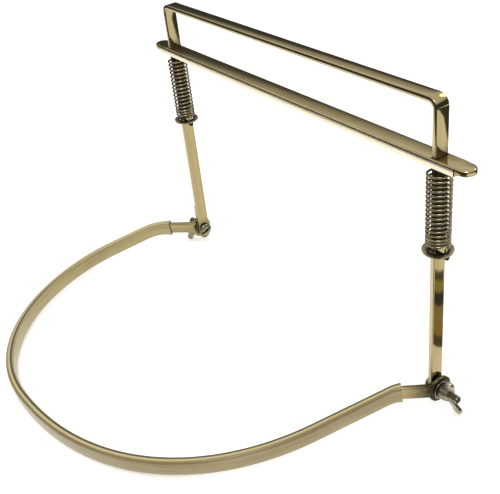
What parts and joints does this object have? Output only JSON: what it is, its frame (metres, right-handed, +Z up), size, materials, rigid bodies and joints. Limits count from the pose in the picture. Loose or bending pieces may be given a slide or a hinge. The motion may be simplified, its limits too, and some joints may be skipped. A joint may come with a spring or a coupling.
{
  "type": "harmonica holder",
  "caption": "Neck-worn harmonica holder: a bent strip frame with a sprung jaw plate, hinged by wing nuts to a sleeved neck hoop",
  "frame": {"origin": "middle of the box in plan, at the surface that the hoop's front and the lower wing tips rest on", "axes": "+X along the hinge axis to the wearer's left as pictured, +Y away from the neck hoop, +Z up along the legs"},
  "size_m": [0.2496, 0.167, 0.1627],
  "materials": {
    "nickel_strip": "bright nickel plated steel strip with fine wear",
    "nickel_plate": "bright nickel plated pressed steel",
    "nickel_nut": "nickel plated cast wing nut",
    "spring_wire": "plated spring wire",
    "steel_hardware": "plain bright steel",
    "dark_washer": "dark fibre friction washer",
    "vinyl_sleeve": "translucent yellowed vinyl tube"
  },
  "bodies": {
    "neck": {"neck_hoop": "nickel_strip", "neck_sleeve": "vinyl_sleeve", "friction_washer_left": "dark_washer", "friction_washer_right": "dark_washer", "outer_washer_left": "steel_hardware", "outer_washer_right": "steel_hardware"},
    "frame": {"u_frame": "nickel_strip", "spring_left": "spring_wire", "spring_right": "spring_wire", "spring_washer_left": "nickel_plate", "spring_washer_right": "nickel_plate", "cross_pin_left": "steel_hardware", "cross_pin_right": "steel_hardware", "pivot_screw_left": "steel_hardware", "pivot_screw_right": "steel_hardware"},
    "jaw": {"clamp_plate": "nickel_plate"},
    "nut_left": {"wing_nut_left": "nickel_nut"},
    "nut_right": {"wing_nut_right": "nickel_nut"}
  },
  "joints": [
    {"name": "frame_tilt", "type": "hinge", "parent": "neck", "child": "frame", "pos_m": [0.0038, 0.07642, 0.01249], "axis": [1, 0, 0], "range_deg": [-90, 22]},
    {"name": "jaw_slide", "type": "slide", "parent": "frame", "child": "jaw", "axis": [0, 0, -1], "range_m": [-0.018, 0.018], "stiffness_N_per_m": 400, "deforming": ["spring_left", "spring_right"]},
    {"name": "nut_left_turn", "type": "hinge", "parent": "neck", "child": "nut_left", "pos_m": [-0.1072, 0.07642, 0.01249], "axis": [1, 0, 0], "range_deg": [-50, 60]},
    {"name": "nut_right_turn", "type": "hinge", "parent": "neck", "child": "nut_right", "pos_m": [0.1158, 0.07642, 0.01249], "axis": [1, 0, 0], "continuous": true}
  ]
}
